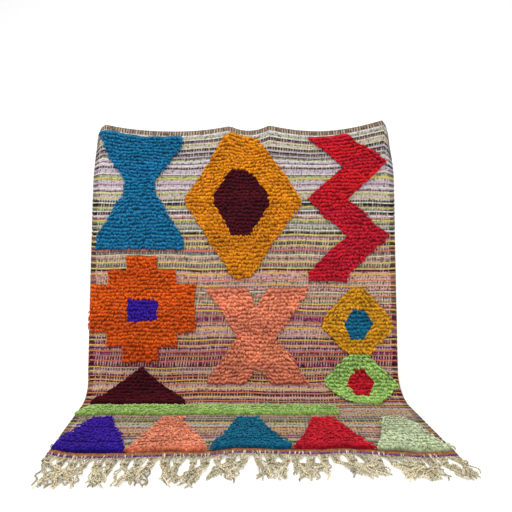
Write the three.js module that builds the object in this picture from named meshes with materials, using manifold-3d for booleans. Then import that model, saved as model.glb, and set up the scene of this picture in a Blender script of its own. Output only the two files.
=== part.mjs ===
// Boujad rug, hung from its top edge, with its lower end bent out over the floor.
// A wool flat weave carries rows of knotted pile in blocks, and the warp ends come out of
// a twined edge as a knotted fringe. Sizes are in millimetres. +X runs across the rug, the
// pile faces -Y where it hangs, and +Z is up. The origin lies on the floor, under the
// middle of the whole object's box.

import * as THREE from 'three';
import * as BufferGeometryUtils from 'three/addons/utils/BufferGeometryUtils.js';
import Module from 'manifold-3d';

// The woven piece
const WIDTH = 1550;
const GROUND = 4;          // thickness of the flat weave
const PILE = 14;           // height of the pile over the flat weave
const VALLEY = 7;          // height that is left between two pile rows
const ROW = 18.2;          // from one pile row to the next
const ROW_COUNT = 100;
const TOP_STRIP = 38;      // flat weave above the first pile row
const END_STRIP = 28;      // flat weave below the last pile row
const TUFT_LEAN = 4;       // how far a row's end slopes in from its foot to its crest

// How it hangs
const TOP_ANGLE = 50;      // degrees from straight down, where it leaves the unseen support
const SCALLOP_REACH = 450; // how far down the sag of the top edge still shows
const SWELL = 8;           // depth of the soft waves in the hanging part
const SWELL_LENGTH = 560;  // from wave to wave
const CURL_BAND = 90;      // width of the selvedge that turns back near the top
const CURL_REACH = 330;    // how far down it still turns back
const SHIFT = 50;          // how far the lying end strays sideways
const HEM_REACH = 260;     // how far up the lower edge's unevenness shows

// The twined edge and the fringe
const GAP = 0.3;           // between the woven piece and the twined edge
const EDGE_WIDTH = 10;
const EDGE_HEIGHT = 6;
const KNOTS = 44;          // knots along the fringe
const CORDS = 3;           // cords gathered in each knot
const CORD_WIDTH = 5;
const CORD_HEIGHT = 5;
const KNOT_OUT = 46;       // from the twined edge out to the knots
const KNOT_SPACING = 6.2;  // between the cords of one knot
const KNOT_HEIGHT = 8;

// Gives each row of a table its column names.
const table = (columns, rows) => rows.map((row) => (
  Object.fromEntries(columns.map((column, i) => [column, row[i]]))
));

// The cloth's way from the top edge to the lower one. Each run bends evenly by its turn.
const RUNS = table(['run', 'length', 'turn'], [
  ['over the top', 40, -41.2],
  ['hanging', 1245, 0],
  ['bending out', 185, 81.2],
  ['lying', 416, 0],
]);
const LENGTH = RUNS.reduce((sum, { length }) => sum + length, 0);
const HANG_END = RUNS[0].length + RUNS[1].length;
const BEND_END = HANG_END + RUNS[2].length;

// Places where the top edge is held, with the sag of the cloth up to the next one.
const HOLDS = table(['across', 'rise', 'sag'], [
  [-775, -43, 0],
  [-738, 0, 36],
  [-72, -11, 26],
  [133, -11, 40],
  [732, 19, 0],
  [775, -37, 0],
]);

// Degrees by which each selvedge has turned back at the top edge.
const CURL_LEFT = 42;
const CURL_RIGHT = 58;

// The uneven lower edge: how far it reaches out past its mean line.
const HEM = table(['across', 'out'], [
  [-775, -15], [-715, 8], [-640, 20], [-500, 15], [-300, 4], [-190, 6], [-60, -20],
  [60, -16], [240, -8], [375, -20], [500, -3], [640, 14], [775, 0],
]);

// Lines down the cloth that its faces follow, close together where it curves.
const TOP_STATIONS = [-775, -738, -705, -650, -540, -405, -270, -140, -72, 25, 133, 250, 380,
  510, 630, 690, 732, 775];
const HANG_STATIONS = [-775, -500, -235, 35, 310, 580, 775];
const HEM_STATIONS = HEM.map(({ across }) => across);

// The blocks of pile, as their left and right edges at distances down from the top edge.
// Pile of every colour is equally high, so a block within a block isn't listed.
const EDGES = ['down', 'left', 'right'];
const BLOCKS = {
  hourglass: table(EDGES, [
    [38, -748, -318], [90, -735, -325], [300, -610, -452], [372, -608, -450],
    [600, -750, -312], [650, -752, -300],
  ]),
  lozenge: table(EDGES, [
    [38, -62, 40], [60, -100, 70], [380, -292, 288], [430, -292, 290], [770, -70, 55],
    [800, -40, 30],
  ]),
  zigzag: table(EDGES, [
    [38, 330, 530], [215, 520, 735], [400, 325, 530], [590, 525, 740], [770, 340, 540],
    [820, 335, 520],
  ]),
  steppedLozenge: table(EDGES, [
    [690, -590, -440], [765, -590, -440], [766, -680, -340], [845, -680, -340],
    [846, -775, -240], [1075, -775, -245], [1076, -685, -335], [1155, -685, -335],
    [1156, -600, -430], [1230, -600, -430],
  ]),
  crossFalling: table(EDGES, [[860, -180, 10], [1330, 130, 330]]),
  crossRising: table(EDGES, [[860, 130, 330], [1330, -185, 10]]),
  upperSmallLozenge: table(EDGES, [
    [860, 540, 610], [1010, 405, 748], [1055, 400, 752], [1190, 530, 625],
  ]),
  lowerSmallLozenge: table(EDGES, [
    [1190, 530, 625], [1310, 405, 750], [1345, 405, 755], [1455, 520, 640],
  ]),
  triangle: table(EDGES, [[1265, -530, -490], [1430, -735, -290], [1455, -740, -285]]),
  band: table(EDGES, [[1480, -700, 420], [1560, -775, 415]]),
  firstTooth: table(EDGES, [[1600, -680, -600], [1858, -775, -475]]),
  secondTooth: table(EDGES, [[1600, -370, -290], [1858, -475, -165]]),
  thirdTooth: table(EDGES, [[1600, -40, 40], [1858, -155, 155]]),
  fourthTooth: table(EDGES, [[1600, 290, 370], [1858, 165, 475]]),
  fifthTooth: table(EDGES, [[1600, 600, 680], [1858, 480, 775]]),
};
const BLOCK_WOBBLE = 5;    // how far a row's end strays from its block's edge
const JOINED = 16;         // blocks nearer than this share one run of pile
const SPARSE = 9;          // no two points of a line are nearer than this, but for a tuft's lean

// How far each part of the fringe reaches out and how far its ends drift sideways.
const FRINGE = table(['across', 'reach', 'drift'], [
  [-775, 185, 4], [-640, 175, 30], [-480, 165, -6], [-330, 172, 22], [-180, 176, -32],
  [-30, 165, -30], [60, 160, 8], [200, 158, -18], [330, 145, 16], [470, 142, 42],
  [600, 140, 12], [700, 132, 26], [775, 124, 46],
]);
const REACH_WOBBLE = 0.16; // share by which a cord is longer or shorter than its neighbours

const HALF = WIDTH / 2;
const toRadians = THREE.MathUtils.degToRad;

// Gives the same uneven number between -1 and 1 each time for the same seed.
function uneven(seed) {
  const scattered = Math.sin(seed * 12.9898) * 43758.5453;
  return 2 * (scattered - Math.floor(scattered)) - 1;
}

// Reads a column of a table between its rows, by straight lines.
function lookUp(rows, key, value, column) {
  const after = rows.findIndex((row) => row[key] >= value);
  if (after === 0) return rows[0][column];
  if (after < 0) return rows.at(-1)[column];
  const [low, high] = [rows[after - 1], rows[after]];
  return THREE.MathUtils.mapLinear(value, low[key], high[key], low[column], high[column]);
}

// Follows the runs to a place down the cloth: how far forward and how far below the top it is.
function followRuns(down) {
  let angle = toRadians(TOP_ANGLE);
  let forward = 0;
  let drop = 0;
  let left = down;
  for (const { length, turn } of RUNS) {
    const part = Math.min(left, length);
    const bend = toRadians(turn) * part / length;
    const chord = bend === 0 ? part : part * Math.sin(bend / 2) / (bend / 2);
    forward += chord * Math.sin(angle + bend / 2);
    drop += chord * Math.cos(angle + bend / 2);
    angle += bend;
    left -= part;
  }
  return { forward, drop };
}

// Height of the top edge at a place across: holds joined by sagging curves.
function topEdge(across) {
  const next = Math.max(1, HOLDS.findIndex((hold) => hold.across >= across));
  const [from, to] = [HOLDS[next - 1], HOLDS[next]];
  const share = (across - from.across) / (to.across - from.across);
  return from.rise + (to.rise - from.rise) * share - 4 * from.sag * share * (1 - share);
}

// Where the selvedge turns back: an arc in place of the straight band, narrower as seen.
function turnBack(across, down) {
  const beyond = Math.abs(across) - (HALF - CURL_BAND);
  const full = toRadians(across < 0 ? CURL_LEFT : CURL_RIGHT);
  const curl = full * (1 - THREE.MathUtils.smoothstep(down, 0, CURL_REACH));
  if (beyond <= 0 || curl < 0.001) return { across, back: 0 };
  const radius = CURL_BAND / curl;
  const reach = HALF - CURL_BAND + radius * Math.sin(beyond / radius);
  return { across: Math.sign(across) * reach, back: radius * (1 - Math.cos(beyond / radius)) };
}

const TOP_HEIGHT = followRuns(LENGTH).drop;

// A point on the back of the cloth, at a place across it and down it.
function backPoint(across, down) {
  const { forward, drop } = followRuns(down);
  const nearTop = 1 - THREE.MathUtils.smoothstep(down, 0, SCALLOP_REACH);
  const hanging = 1 - THREE.MathUtils.smoothstep(down, 0, HANG_END);
  const lying = Math.max(0, down - HANG_END) / (LENGTH - HANG_END);
  const atHem = THREE.MathUtils.smoothstep(down, LENGTH - HEM_REACH, LENGTH);
  const turned = turnBack(across, down);
  const swell = SWELL * hanging * Math.sin(2 * Math.PI * across / SWELL_LENGTH + down / 400);
  const out = forward + swell + lookUp(HEM, 'across', across, 'out') * atHem;
  return new THREE.Vector3(
    turned.across + SHIFT * lying,
    turned.back - out,
    TOP_HEIGHT - drop + topEdge(across) * nearTop,
  );
}

// A point at a height over the back of the cloth, square to it.
function clothPoint(across, down, height) {
  const nudge = 0.5;
  const inside = THREE.MathUtils.clamp(across, nudge - HALF, HALF - nudge);
  const along = backPoint(inside + nudge, down).sub(backPoint(inside - nudge, down));
  const downward = backPoint(inside, down + nudge).sub(backPoint(inside, down - nudge));
  const outward = downward.cross(along).normalize();
  return backPoint(across, down).addScaledVector(outward, height);
}

// A closed mesh that is built line by line, with points kept to the hundredth.
class Skin {
  constructor() {
    this.positions = [];
    this.triangles = [];
  }

  add(point) {
    const grid = 100;
    this.positions.push(...point.toArray().map((value) => Math.round(value * grid) / grid));
    return this.positions.length / 3 - 1;
  }

  // Fills the strip between two lines, going along whichever line is behind.
  zip(first, second, facing) {
    let [i, j] = [0, 0];
    while (i < first.length - 1 || j < second.length - 1) {
      const firstNext = first[i + 1]?.place ?? Infinity;
      const secondNext = second[j + 1]?.place ?? Infinity;
      const stepFirst = firstNext <= secondNext;
      const corner = stepFirst ? first[i + 1] : second[j + 1];
      const face = [first[i].index, second[j].index, corner.index];
      this.triangles.push(...(facing ? face : face.reverse()));
      if (stepFirst) i += 1;
      else j += 1;
    }
  }

  geometry() {
    const geometry = new THREE.BufferGeometry();
    geometry.setAttribute('position', new THREE.Float32BufferAttribute(this.positions, 3));
    geometry.setIndex(this.triangles);
    return geometry;
  }
}

// The runs of pile in one row, from left to right. Blocks that meet share a run.
function pileRuns(row) {
  const middle = TOP_STRIP + ROW * (row + 0.5);
  const runs = [];
  Object.values(BLOCKS).forEach((edges, block) => {
    if (middle < edges[0].down || middle > edges.at(-1).down) return;
    const seed = row * 31 + block * 7;
    const left = lookUp(edges, 'down', middle, 'left') + BLOCK_WOBBLE * uneven(seed);
    const right = lookUp(edges, 'down', middle, 'right') + BLOCK_WOBBLE * uneven(seed + 3);
    runs.push({ left: toSelvedge(left), right: toSelvedge(right) });
  });
  runs.sort((a, b) => a.left - b.left);
  return runs.reduce((joined, run) => {
    const last = joined.at(-1);
    if (last && run.left < last.right + JOINED) last.right = Math.max(last.right, run.right);
    else joined.push({ ...run });
    return joined;
  }, []);
}

// Pile that comes near the selvedge reaches it.
function toSelvedge(across) {
  return Math.abs(across) > HALF - SPARSE ? Math.sign(across) * HALF : across;
}

// Where the pile of two neighbouring rows overlaps.
function sharedRuns(upper, lower) {
  const shared = [];
  for (const a of upper) {
    for (const b of lower) {
      const left = Math.max(a.left, b.left);
      const right = Math.min(a.right, b.right);
      if (right - left > 3 * TUFT_LEAN) shared.push({ left, right });
    }
  }
  return shared;
}

// The points of one line across the front. Pile stands on its runs, each with a foot, and
// the other rows' feet are kept as points of the flat weave.
function frontLine(stations, runs, height, neighbourRuns) {
  const points = [];
  for (const { left, right } of runs) {
    const leftCrest = left > -HALF ? left + TUFT_LEAN : left;
    const rightCrest = right < HALF ? right - TUFT_LEAN : right;
    if (left > -HALF) points.push({ place: left, height: GROUND });
    points.push({ place: leftCrest, height: GROUND + height });
    points.push({ place: rightCrest, height: GROUND + height });
    if (right < HALF) points.push({ place: right, height: GROUND });
  }
  const feet = neighbourRuns.flatMap(({ left, right }) => [left, right]);
  for (const place of [-HALF, HALF, ...feet, ...stations]) {
    const atEnd = Math.abs(place) === HALF;
    const clear = points.every((point) => Math.abs(point.place - place) >= (atEnd ? 0.01 : SPARSE));
    const piled = runs.some(({ left, right }) => left < place && place < right);
    if (clear) points.push({ place, height: piled ? GROUND + height : GROUND });
  }
  return points.sort((a, b) => a.place - b.place);
}

// The lines of the front from the top edge to the lower one, a crest and a valley for each row.
function frontLines() {
  const lines = [];
  const addLine = (down, runs, height, neighbours) => {
    const stations = down < SCALLOP_REACH ? TOP_STATIONS : HANG_STATIONS;
    lines.push({ down, points: frontLine(stations, runs, height, neighbours) });
  };
  const rolled = 4;
  for (let i = 0; i < rolled; i += 1) addLine(TOP_STRIP * i / rolled, [], 0, []);
  let upper = [];
  for (let row = 0; row < ROW_COUNT; row += 1) {
    const runs = pileRuns(row);
    const down = TOP_STRIP + ROW * row;
    addLine(down, sharedRuns(upper, runs), VALLEY, [...upper, ...runs]);
    addLine(down + ROW * 0.6, runs, PILE * (1 + 0.12 * uneven(row)), []);
    upper = runs;
  }
  addLine(LENGTH - END_STRIP, [], 0, upper);
  const hem = HEM_STATIONS.map((place) => ({ place, height: GROUND }));
  lines.push({ down: LENGTH, points: hem });
  return lines;
}

// The lines of the back, which has no pile and only the folds of the cloth.
function backLines() {
  const bendSteps = 8;
  const downs = [0, 13, 26, 40, 95, 160, 230, 310, 380, SCALLOP_REACH, 660, 870, 1080];
  for (let i = 0; i <= bendSteps; i += 1) downs.push(HANG_END + RUNS[2].length * i / bendSteps);
  const lines = downs.map((down) => {
    const stations = down < SCALLOP_REACH ? TOP_STATIONS : HANG_STATIONS;
    return { down, points: stations.map((place) => ({ place, height: 0 })) };
  });
  lines.push({ down: LENGTH, points: HEM_STATIONS.map((place) => ({ place, height: 0 })) });
  return lines;
}

// Joins the front, the back and the four edges into one closed skin.
function rugBody() {
  const skin = new Skin();
  const place = ({ down, points }) => points.map((point) => ({
    place: point.place,
    index: skin.add(clothPoint(point.place, down, point.height)),
  }));
  const sides = [frontLines(), backLines()].map((lines) => {
    const placed = lines.map(place);
    const edge = (end) => placed.map((line, i) => ({
      place: lines[i].down,
      index: line.at(end).index,
    }));
    return { placed, left: edge(0), right: edge(-1) };
  });
  const [front, back] = sides;
  sides.forEach(({ placed }, i) => {
    for (let n = 1; n < placed.length; n += 1) skin.zip(placed[n - 1], placed[n], i === 0);
  });
  skin.zip(front.placed[0], back.placed[0], false);
  skin.zip(front.placed.at(-1), back.placed.at(-1), true);
  skin.zip(front.left, back.left, true);
  skin.zip(front.right, back.right, false);
  return skin.geometry();
}

// A point on the floor at a place across the lower edge and a distance out from the weave.
function floorPoint(across, out) {
  const edge = backPoint(across, LENGTH);
  return new THREE.Vector2(edge.x, edge.y - out);
}

// The twined edge: a low band that follows the lower edge of the weave.
function twinedEdge() {
  const near = HEM_STATIONS.map((across) => floorPoint(across, GAP));
  const far = HEM_STATIONS.map((across) => floorPoint(across, EDGE_WIDTH));
  const outline = new THREE.Shape([...near, ...far.reverse()]);
  return new THREE.ExtrudeGeometry(outline, { depth: EDGE_HEIGHT, bevelEnabled: false });
}

// One cord of the fringe: three-sided, lying on its flat side from the twined edge to its tip.
function fringeCord(sections) {
  const skin = new Skin();
  const rings = sections.map(({ spot, lift, width, height }) => [
    skin.add(new THREE.Vector3(spot.x - width / 2, spot.y, lift)),
    skin.add(new THREE.Vector3(spot.x + width / 2, spot.y, lift)),
    skin.add(new THREE.Vector3(spot.x, spot.y, height)),
  ]);
  const sides = rings[0].length;
  for (let n = 1; n < rings.length; n += 1) {
    for (let i = 0; i < sides; i += 1) {
      const next = (i + 1) % sides;
      const [a, b, c, d] = [rings[n - 1][i], rings[n - 1][next], rings[n][i], rings[n][next]];
      skin.triangles.push(a, b, c, b, d, c);
    }
  }
  skin.triangles.push(...rings[0].toReversed(), ...rings.at(-1));
  return skin.geometry();
}

// The sections of each cord. The cords of one knot draw together there and part again.
function cordSections(knot, cord) {
  const number = knot * CORDS + cord;
  const fromMiddle = cord - (CORDS - 1) / 2;
  const root = -HALF + WIDTH * (number + 0.5) / (KNOTS * CORDS);
  const knotMiddle = -HALF + WIDTH * (knot + 0.5) / KNOTS;
  const drift = lookUp(FRINGE, 'across', root, 'drift');
  const knotDrift = lookUp(FRINGE, 'across', knotMiddle, 'drift') / 5;
  const reach = lookUp(FRINGE, 'across', root, 'reach') * (1 + REACH_WOBBLE * uneven(number));
  const midway = (KNOT_OUT + reach) / 2;
  const atKnot = knotMiddle + fromMiddle * KNOT_SPACING + knotDrift;
  const tip = root + drift;
  const cordAt = (across, sideways, out, lift, width, height) => ({
    spot: floorPoint(across, out).add(new THREE.Vector2(sideways, 0)),
    lift,
    width,
    height,
  });
  return [
    cordAt(root, 0, EDGE_WIDTH - 4, 1.5, CORD_WIDTH - 1, CORD_HEIGHT - 0.5),
    cordAt(root, 0, EDGE_WIDTH + 6, 0, CORD_WIDTH, CORD_HEIGHT),
    cordAt(root, atKnot - root, EDGE_WIDTH + KNOT_OUT, 0, CORD_WIDTH, KNOT_HEIGHT),
    cordAt(root, (atKnot + tip) / 2 - root, EDGE_WIDTH + midway, 0, CORD_WIDTH, CORD_HEIGHT),
    cordAt(root, tip - root, EDGE_WIDTH + reach, 0, CORD_WIDTH - 1, CORD_HEIGHT - 1),
  ];
}

const wasm = await Module();
wasm.setup();

// Turns a closed mesh into a solid that can be joined.
function toSolid(geometry) {
  const bare = new THREE.BufferGeometry();
  bare.setAttribute('position', geometry.getAttribute('position'));
  bare.setIndex(geometry.getIndex());
  const merged = BufferGeometryUtils.mergeVertices(bare);
  return new wasm.Manifold(new wasm.Mesh({
    numProp: 3,
    vertProperties: new Float32Array(merged.getAttribute('position').array),
    triVerts: new Uint32Array(merged.getIndex().array),
  }));
}

// The cords' roots are fused into the twined edge, and the cords stand apart from there.
function fringe() {
  let joined = toSolid(twinedEdge());
  for (let knot = 0; knot < KNOTS; knot += 1) {
    for (let cord = 0; cord < CORDS; cord += 1) {
      joined = joined.add(toSolid(fringeCord(cordSections(knot, cord))));
    }
  }
  const { vertProperties, triVerts } = joined.getMesh();
  const geometry = new THREE.BufferGeometry();
  geometry.setAttribute('position', new THREE.Float32BufferAttribute(vertProperties, 3));
  geometry.setIndex(new THREE.Uint32BufferAttribute(triVerts, 1));
  return geometry;
}

// Puts a piece into the rug as a named mesh with its own finish.
function addPiece(group, name, geometry, color) {
  geometry.computeVertexNormals();
  const material = new THREE.MeshStandardMaterial({ color, roughness: 0.95, metalness: 0 });
  const mesh = new THREE.Mesh(geometry, material);
  mesh.name = name;
  group.add(mesh);
}

const rug = new THREE.Group();
addPiece(rug, 'rug_body', rugBody(), 0xc87a3c);
addPiece(rug, 'fringe', fringe(), 0xd7cdaa);

const middle = new THREE.Box3().setFromObject(rug).getCenter(new THREE.Vector3());
rug.position.set(-middle.x, -middle.y, 0);
rug.updateMatrixWorld(true);

export default rug;
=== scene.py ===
"""A boujad rug: blocks of knotted wool pile on a striped flat weave. It hangs from its top
edge, and its lower end and its cream fringe lie out on the floor. Lengths are in metres."""

import math

import bpy
import numpy as np
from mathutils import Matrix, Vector


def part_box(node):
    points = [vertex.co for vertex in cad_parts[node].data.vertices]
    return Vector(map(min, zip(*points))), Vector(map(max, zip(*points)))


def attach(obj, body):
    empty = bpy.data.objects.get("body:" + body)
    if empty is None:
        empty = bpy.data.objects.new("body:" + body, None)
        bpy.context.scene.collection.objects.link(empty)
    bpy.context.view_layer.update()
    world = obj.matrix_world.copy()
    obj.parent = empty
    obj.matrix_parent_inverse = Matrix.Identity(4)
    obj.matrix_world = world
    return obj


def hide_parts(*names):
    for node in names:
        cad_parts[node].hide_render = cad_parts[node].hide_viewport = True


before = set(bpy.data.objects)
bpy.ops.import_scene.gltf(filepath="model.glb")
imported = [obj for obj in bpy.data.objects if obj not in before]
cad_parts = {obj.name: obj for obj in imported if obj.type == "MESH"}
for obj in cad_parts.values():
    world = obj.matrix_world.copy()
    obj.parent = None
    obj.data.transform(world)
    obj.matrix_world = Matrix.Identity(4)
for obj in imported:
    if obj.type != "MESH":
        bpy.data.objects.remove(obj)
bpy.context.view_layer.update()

# The striped flat weave
# One cloth of wool weft, beaten over cream warps that show through it in dashes. It is woven
# on an upright loom, shot by shot, and the colour changes wherever the weaver's yarn ran out.

WIDTH = 1.55
HALF = WIDTH / 2
GROUND = 0.004          # thickness of the flat weave
TOP_ANGLE = 50.0        # degrees from straight down, in which the cloth leaves its top edge
SCALLOP_REACH = 0.45    # how far down the sag of the top edge still shows
SWELL = 0.008           # height of the soft swells down the hanging part
SWELL_LENGTH = 0.56     # across the cloth, from one swell to the next
SWELL_SLANT = 0.4       # down the cloth, for each radian that the swells shift
CURL_BAND = 0.09        # width of the edge that turns back near the top
CURL_REACH = 0.33       # how far down the cloth it still turns back
CURL_LEFT, CURL_RIGHT = 42.0, 58.0      # degrees that it turns back at the top
LEAST_CURL = 0.001      # in radians, as good as flat
SHIFT = 0.05            # how far the lying end strays sideways
HEM_REACH = 0.26        # how far up from the lower edge its unevenness reaches

RUNS = np.array([       # length, turn in degrees
    (0.040, -41.2),     # over the top
    (1.245, 0.0),       # hanging
    (0.185, 81.2),      # bending out
    (0.416, 0.0),       # lying
])
LENGTH = RUNS[:, 0].sum()
HANG_END = RUNS[:2, 0].sum()
BEND_END = RUNS[:3, 0].sum()

HOLDS = np.array([      # across, rise, sag up to the next hold
    (-0.775, -0.043, 0.0), (-0.738, 0.0, 0.036), (-0.072, -0.011, 0.026),
    (0.133, -0.011, 0.040), (0.732, 0.019, 0.0), (0.775, -0.037, 0.0),
])
HEM = np.array([        # across, how far the lower edge reaches out past its mean line
    (-0.775, -0.015), (-0.715, 0.008), (-0.640, 0.020), (-0.500, 0.015), (-0.300, 0.004),
    (-0.190, 0.006), (-0.060, -0.020), (0.060, -0.016), (0.240, -0.008), (0.375, -0.020),
    (0.500, -0.003), (0.640, 0.014), (0.775, 0.0),
])


def ease(value, start, end):
    """Rises softly from 0 at start to 1 at end."""
    share = np.clip((value - start) / (end - start), 0, 1)
    return share * share * (3 - 2 * share)


def follow_runs(down):
    """How far forward the cloth is at a place down it, and how far below its top edge."""
    angle = np.full_like(down, math.radians(TOP_ANGLE))
    forward, drop, left = np.zeros_like(down), np.zeros_like(down), down.copy()
    for length, turn in RUNS:
        part = np.clip(left, 0, length)
        bend = math.radians(turn) * part / length
        chord = part * np.sinc(bend / 2 / math.pi)
        forward += chord * np.sin(angle + bend / 2)
        drop += chord * np.cos(angle + bend / 2)
        angle += bend
        left -= part
    return forward, drop


def top_edge(across):
    """Height of the top edge at a place across: holds joined by sagging curves."""
    first = np.clip(np.searchsorted(HOLDS[:, 0], across) - 1, 0, len(HOLDS) - 2)
    start, end = HOLDS[first], HOLDS[first + 1]
    share = (across - start[..., 0]) / (end[..., 0] - start[..., 0])
    straight = start[..., 1] + (end[..., 1] - start[..., 1]) * share
    return straight - 4 * start[..., 2] * share * (1 - share)


def back_points(across, down):
    """Points on the back of the cloth, before the rug is set in its frame."""
    forward, drop = follow_runs(down)
    beyond = np.maximum(np.abs(across) - (HALF - CURL_BAND), 0)
    full = np.radians(np.where(across < 0, CURL_LEFT, CURL_RIGHT))
    curl = np.maximum(full * (1 - ease(down, 0, CURL_REACH)), LEAST_CURL)
    radius = CURL_BAND / curl
    curled = HALF - CURL_BAND + radius * np.sin(beyond / radius)
    turned = np.where(beyond > 0, curled, np.abs(across))
    back = radius * (1 - np.cos(beyond / radius))
    lying = np.maximum(0, down - HANG_END) / (LENGTH - HANG_END)
    swell = SWELL * (1 - ease(down, 0, HANG_END))
    swell = swell * np.sin(2 * math.pi * across / SWELL_LENGTH + down / SWELL_SLANT)
    hem = np.interp(across, HEM[:, 0], HEM[:, 1]) * ease(down, LENGTH - HEM_REACH, LENGTH)
    rise = top_edge(across) * (1 - ease(down, 0, SCALLOP_REACH))
    return np.stack([
        np.sign(across) * turned + SHIFT * lying,
        back - forward - swell - hem,
        TOP_HEIGHT - drop + rise,
    ], axis=-1)


TOP_HEIGHT = float(follow_runs(np.array([LENGTH]))[1][0])

# The lower edge of the woven solid says where the rug's own middle lies in the frame.
body_low, body_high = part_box("rug_body")
hem_line = back_points(HEM[:, 0], np.full(len(HEM), LENGTH))
PLACE = np.array([body_high.x - hem_line[:, 0].max(), body_low.y - hem_line[:, 1].min(), 0.0])


def on_cloth(across, down, height):
    """Points at a height over the back of the cloth, in the rug's frame."""
    across, down, height = np.broadcast_arrays(across, down, height)
    nudge = 0.0005
    inside = np.clip(across, nudge - HALF, HALF - nudge)
    along = back_points(inside + nudge, down) - back_points(inside - nudge, down)
    below = back_points(inside, down + nudge) - back_points(inside, down - nudge)
    outward = np.cross(below, along)
    outward /= np.linalg.norm(outward, axis=-1, keepdims=True)
    return back_points(across, down) + outward * height[..., None] + PLACE


def uneven(seed):
    """The same uneven number between -1 and 1 each time for the same seed."""
    stride, scatter = 12.9898, 43758.5453
    scattered = np.sin(np.asarray(seed, float) * stride) * scatter
    return 2 * (scattered - np.floor(scattered)) - 1


def dye(red, green, blue):
    """A colour as seen, 0 to 255, turned into the light that it sends back."""
    seen = np.array([red, green, blue]) / 255
    light = np.where(seen <= 0.04045, seen / 12.92, ((seen + 0.055) / 1.055) ** 2.4)
    return (*light, 1.0)


def make_mesh(name, points, faces, material):
    """A smooth mesh of one material."""
    mesh = bpy.data.meshes.new(name)
    mesh.from_pydata(points.reshape(-1, 3).tolist(), [], faces)
    mesh.polygons.foreach_set("use_smooth", [True] * len(mesh.polygons))
    mesh.materials.append(material)
    return mesh


def put_in_scene(name, data):
    """A new object of the scene, made of a mesh, a light or a camera."""
    made = bpy.data.objects.new(name, data)
    bpy.context.scene.collection.objects.link(made)
    return made


def make_piece(name, points, faces, material, traits):
    """A mesh piece of the rug. Traits are named numbers or triples kept at its points."""
    mesh = make_mesh(name, points, faces, material)
    for trait, values in traits.items():
        values = np.asarray(values, np.float32)
        kind = "FLOAT" if values.ndim == 1 else "FLOAT_VECTOR"
        layer = mesh.attributes.new(trait, kind, "POINT")
        layer.data.foreach_set("value" if kind == "FLOAT" else "vector", values.ravel())
    mesh.update()
    piece = put_in_scene(name, mesh)
    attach(piece, "root")
    return piece


def grid_faces(rows, columns, start=0, flip=False):
    """The faces of a grid of points that is stored row by row."""
    first = start + np.arange(rows - 1)[:, None] * columns + np.arange(columns - 1)
    faces = np.stack([first, first + columns, first + columns + 1, first + 1], -1).reshape(-1, 4)
    return (faces[:, ::-1] if flip else faces).tolist()


class Dyer:
    """A material that is put together node by node."""

    def __init__(self, name):
        self.material = bpy.data.materials.new(name)
        self.material.use_nodes = True
        self.tree = self.material.node_tree
        self.shader = self.tree.nodes["Principled BSDF"]

    def node(self, kind, inputs, **settings):
        """A node with its settings, its inputs each a fixed value or another node's output."""
        made = self.tree.nodes.new("ShaderNode" + kind)
        for setting, value in settings.items():
            setattr(made, setting, value)
        for socket, value in inputs.items():
            if isinstance(value, bpy.types.NodeSocket):
                self.tree.links.new(value, made.inputs[socket])
            else:
                made.inputs[socket].default_value = value
        return made

    def trait(self, name, output="Fac"):
        return self.node("Attribute", {}, attribute_name=name).outputs[output]

    def reckon(self, operation, first, second=0.0, third=0.0):
        values = {0: first, 1: second, 2: third}
        return self.node("Math", values, operation=operation).outputs[0]

    def product(self, value, *factors):
        for factor in factors:
            value = self.reckon("MULTIPLY", value, factor)
        return value

    def total(self, value, *parts):
        """A value plus some others, each times its own weight."""
        for part, weight in parts:
            value = self.reckon("MULTIPLY_ADD", part, weight, value)
        return value

    def noise(self, vector, grains, detail, roughness=0.5):
        """Uneven values about 0.5, with so many grains to the metre, or so many each way."""
        if isinstance(grains, tuple):
            vector = self.node("Mapping", {"Vector": vector, "Scale": grains}).outputs["Vector"]
            grains = 1.0
        inputs = {"Vector": vector, "Scale": grains, "Detail": detail, "Roughness": roughness}
        return self.node("TexNoise", inputs).outputs["Fac"]

    def blend(self, share, first, second):
        """A share of the second colour over the first."""
        inputs = {0: share, 6: first, 7: second}
        return self.node("Mix", inputs, data_type="RGBA", clamp_factor=True).outputs[2]

    def shade(self, colour, value, hue=0.5):
        """A colour made lighter or darker. A hue of 0.5 leaves its hue as it is."""
        inputs = {"Color": colour, "Value": value, "Hue": hue}
        return self.node("HueSaturation", inputs).outputs[0]

    def between(self, value, low, high, out_low=0.0, out_high=1.0):
        """A value from low to high, stretched or turned round to the outer pair of values."""
        inputs = {0: value, 1: low, 2: high, 3: out_low, 4: out_high}
        return self.node("MapRange", inputs).outputs[0]

    def wave(self, place, pitch):
        """Rises and falls between -1 and 1, once in each pitch."""
        return self.reckon("SINE", self.product(place, 2 * math.pi / pitch))

    def plies(self, pitch):
        """The two ridges of a twisted yarn, from the trait of each ring's turn and place."""
        apart = self.node("SeparateXYZ", {0: self.trait("yarn", "Vector")})
        around = self.reckon("ARCTAN2", apart.outputs[1], apart.outputs[0])
        turn = self.product(apart.outputs[2], 2 * math.pi / pitch)
        return self.reckon("SINE", self.total(turn, (around, 2)))

    def finish(self, colour, height, depth, roughness, sheen):
        """The finished material. Depth is how deep its relief is, in metres."""
        self.tree.links.new(colour, self.shader.inputs["Base Color"])
        self.shader.inputs["Roughness"].default_value = roughness
        self.shader.inputs["Specular IOR Level"].default_value = 0.08
        self.shader.inputs["Sheen Weight"].default_value = sheen
        self.shader.inputs["Sheen Roughness"].default_value = 0.5
        bump = self.node("Bump", {"Height": height, "Distance": depth, "Strength": 0.8})
        self.tree.links.new(bump.outputs["Normal"], self.shader.inputs["Normal"])
        return self.material


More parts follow.
